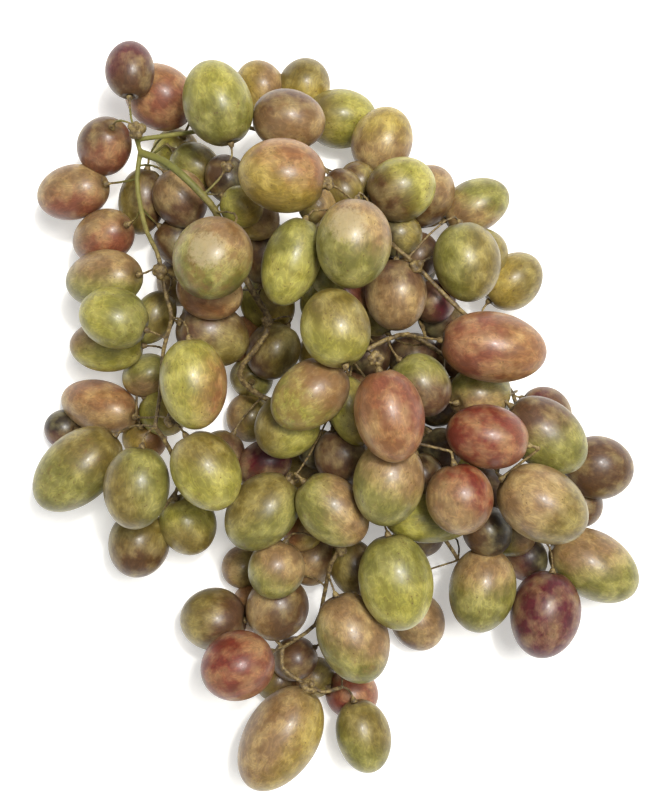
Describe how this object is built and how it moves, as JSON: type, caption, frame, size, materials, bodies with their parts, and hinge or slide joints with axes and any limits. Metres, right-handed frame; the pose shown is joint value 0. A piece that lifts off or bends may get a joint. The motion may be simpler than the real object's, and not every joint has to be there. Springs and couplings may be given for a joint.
{
  "type": "bunch of grapes",
  "caption": "Bunch of large oval table grapes lying on its side, green to rose and wine red, berries crowded round a branching stalk.",
  "frame": {"origin": "on the surface the bunch lies on, under the middle of its bounding box", "axes": "+Z up from that surface, +Y towards the stalk end and shoulders of the bunch, -Y towards its tip, +X to the right as seen from above with +Y up"},
  "size_m": [0.1922, 0.2346, 0.0785],
  "materials": {
    "skin_gold": "taut waxy grape skin with a soft sheen, gold",
    "skin_green": "taut waxy grape skin with a soft sheen, green",
    "skin_lime": "taut waxy grape skin with a soft sheen, lime",
    "skin_mauve": "taut waxy grape skin with a soft sheen, mauve",
    "skin_rose": "taut waxy grape skin with a soft sheen, rose",
    "skin_tan": "taut waxy grape skin with a soft sheen, tan",
    "skin_wine": "taut waxy grape skin with a soft sheen, wine",
    "stalk_wood": "green and tan living stalk, matt and knobbly"
  },
  "bodies": {
    "root": {"crown_berries_back": "skin_tan", "crown_berries_small": "skin_lime", "crown_berry_blush": "skin_tan", "crown_berry_left": "skin_green", "crown_berry_tan": "skin_tan", "crown_berry_top": "skin_gold", "deep_berries": "skin_tan", "heart_berries_long": "skin_green", "heart_berries_low": "skin_lime", "heart_berries_russet": "skin_gold", "heart_berries_under": "skin_rose", "heart_berry_lime": "skin_lime", "heart_berry_top": "skin_rose", "left_berries_edge": "skin_tan", "left_berries_high": "skin_mauve", "left_berries_low": "skin_green", "left_berries_small": "skin_green", "left_berry_top": "skin_lime", "mauve_berry": "skin_mauve", "neck_berries": "skin_mauve", "orange_berry": "skin_rose", "red_berry": "skin_rose", "right_berries_edge": "skin_mauve", "right_berries_upper": "skin_green", "right_berry_low": "skin_green", "right_berry_middle": "skin_tan", "right_shoulder_berries": "skin_tan", "right_shoulder_berries_edge": "skin_green", "right_shoulder_berries_tan": "skin_tan", "right_shoulder_berry_green": "skin_green", "rosy_berry": "skin_rose", "scarred_berry": "skin_green", "scarred_berry_neighbours": "skin_tan", "shoulder_berries": "skin_mauve", "stalk": "stalk_wood", "stub_berry": "skin_green", "tail_berries_left": "skin_green", "tail_berries_right": "skin_green", "tail_berry_lime": "skin_lime", "tail_berry_low": "skin_rose", "tail_berry_middle": "skin_tan", "tail_berry_rose": "skin_rose", "tip_berries": "skin_tan", "tip_berry_long": "skin_tan", "two_tone_berry": "skin_mauve", "under_crown_berries": "skin_lime", "under_heart_berries": "skin_green", "under_right_berries": "skin_mauve", "under_shoulder_berries": "skin_green", "waist_berries_dark": "skin_wine", "waist_berries_low": "skin_rose", "waist_berry_left": "skin_green", "waist_berry_middle": "skin_gold", "waist_berry_right": "skin_gold", "wine_berry": "skin_wine", "wing_berries_low": "skin_tan", "wing_berry_long": "skin_green", "wing_berry_middle": "skin_green", "wing_berry_right": "skin_lime", "wing_berry_top": "skin_lime"}
  },
  "joints": []
}
